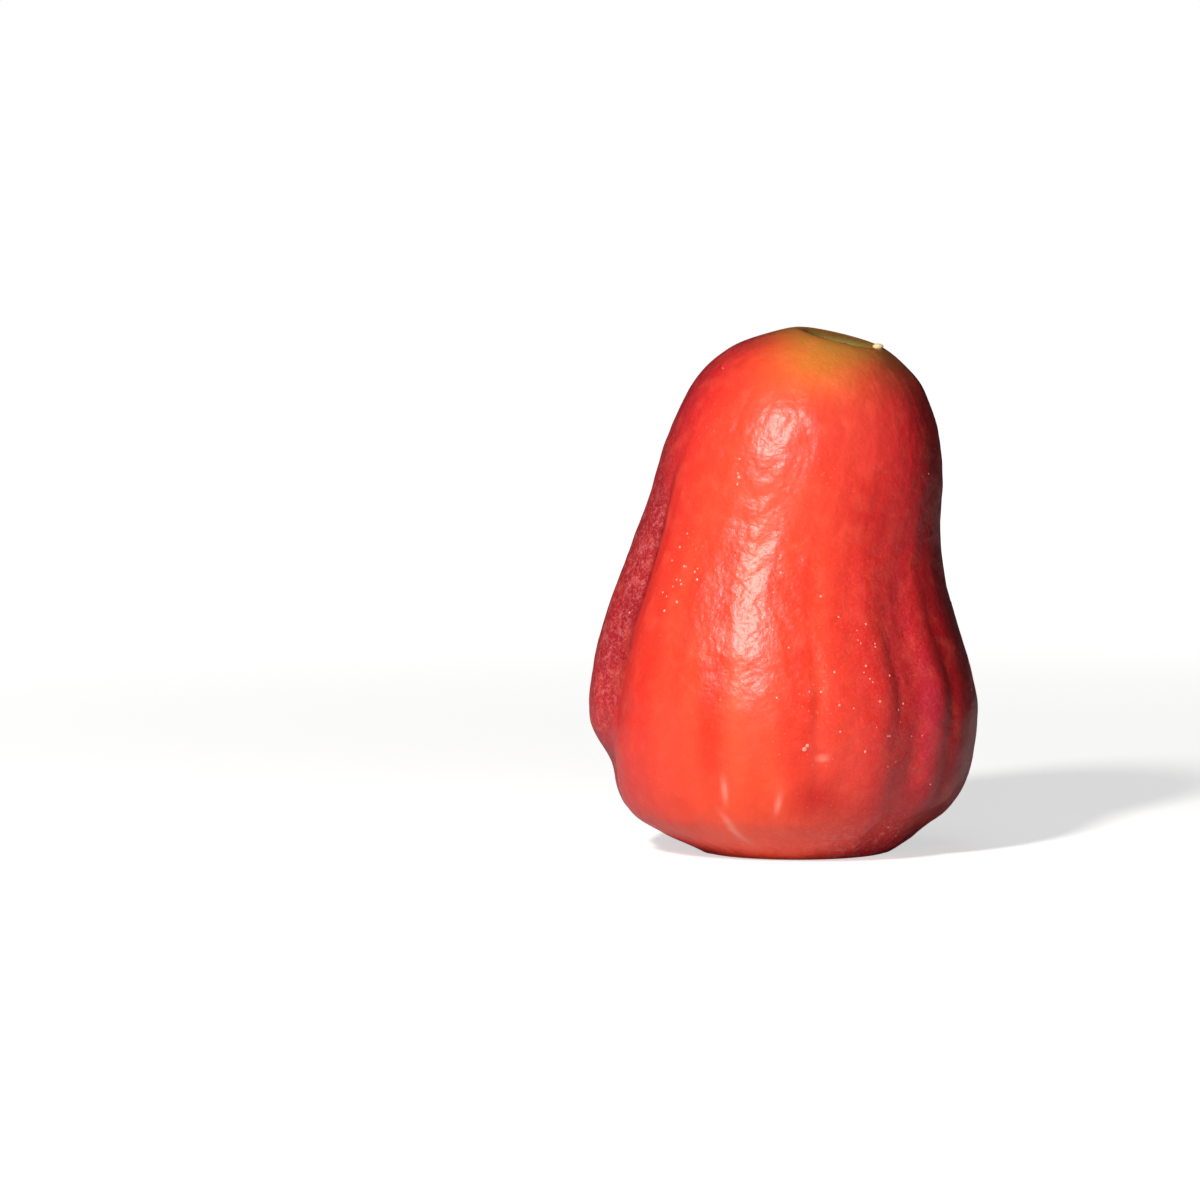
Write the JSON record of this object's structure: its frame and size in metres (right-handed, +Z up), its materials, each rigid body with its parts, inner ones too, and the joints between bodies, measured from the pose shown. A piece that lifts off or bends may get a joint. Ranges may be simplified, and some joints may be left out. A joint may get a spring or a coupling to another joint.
{
  "type": "rose apple",
  "caption": "Bell-shaped, softly ribbed red fruit that stands on its broad calyx end, with curled-in fleshy calyx lobes below and a short broken stalk in a dimple on top.",
  "frame": {"origin": "middle of the fruit's outline seen from above, on the surface that it stands on", "axes": "+Z up, from the calyx end to the stalk end; -Y towards the fruit's front; +X to the right, the side that the stalk end leans to"},
  "size_m": [0.0588, 0.0576, 0.0793],
  "materials": {
    "skin": "waxy red fruit skin, half gloss, with fine pores",
    "calyx": "dark crimson, smooth and half gloss",
    "stalk": "yellow-green stalk with a dry brown end"
  },
  "bodies": {
    "root": {"fruit_body": "skin", "calyx_lobe_front": "calyx", "calyx_lobe_right": "calyx", "calyx_lobe_back": "calyx", "calyx_lobe_left": "calyx", "stalk_stub": "stalk"}
  },
  "joints": []
}
